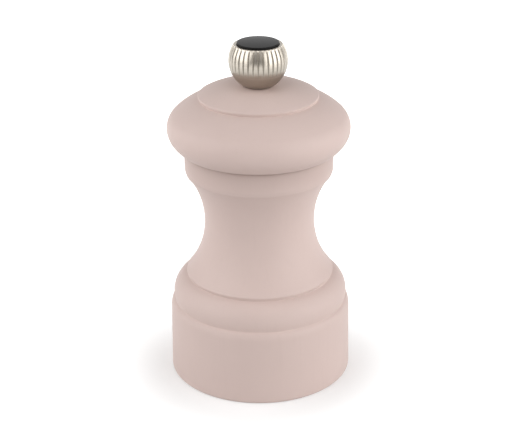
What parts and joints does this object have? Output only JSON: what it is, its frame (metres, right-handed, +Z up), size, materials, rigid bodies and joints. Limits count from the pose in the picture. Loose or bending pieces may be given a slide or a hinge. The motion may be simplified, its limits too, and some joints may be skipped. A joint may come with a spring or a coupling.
{
  "type": "pepper mill",
  "caption": "Small turned wooden table pepper mill in matte pink lacquer: waisted body on a drum foot, lift-off head, fluted steel adjusting knob and steel burr mechanism inside.",
  "frame": {"origin": "centre of the foot, on the surface that the mill stands on", "axes": "+Z up along the spindle; +X along the bottom bar that crosses the foot"},
  "size_m": [0.0536, 0.0536, 0.1],
  "materials": {
    "lacquered_wood": "matte lacquer",
    "knob_steel": "satin",
    "inlay": "gloss",
    "spindle_aluminium": "drawn",
    "burr_steel": "hardened",
    "sheet_steel": "zinc plated",
    "spring_steel": "drawn",
    "screw_steel": "zinc plated"
  },
  "bodies": {
    "mill": {"mill_body": "lacquered_wood", "grinding_ring": "burr_steel", "spindle_bridge": "sheet_steel", "bottom_bar": "sheet_steel", "bottom_bar_screws": "screw_steel"},
    "drive": {"grind_spring": "spring_steel", "spring_washer": "sheet_steel"},
    "spindle": {"spindle": "spindle_aluminium", "grinding_cone": "burr_steel", "cone_clip": "spring_steel"},
    "head": {"head": "lacquered_wood", "drive_plate": "sheet_steel", "drive_plate_screws": "screw_steel"},
    "knob": {"adjusting_knob": "knob_steel", "knob_inlay": "inlay"}
  },
  "joints": [
    {"name": "grind_turn", "type": "hinge", "parent": "mill", "child": "drive", "pos_m": [0, 0, 0.022], "axis": [0, 0, 1], "continuous": true},
    {"name": "grind_adjust", "type": "slide", "parent": "drive", "child": "spindle", "axis": [0, 0, 1], "range_m": [-0.00106, 0.00071], "deforming": ["grind_spring"]},
    {"name": "head_lift", "type": "slide", "parent": "drive", "child": "head", "axis": [0, 0, 1], "range_m": [0, 0.045]},
    {"name": "knob_turn", "type": "hinge", "parent": "head", "child": "knob", "pos_m": [0, 0, 0.0953], "axis": [0, 0, 1], "range_deg": [-360, 540]}
  ],
  "couplings": [
    {"joint": "grind_adjust", "follows": "knob_turn", "m_per_rad": -0.00011141}
  ]
}
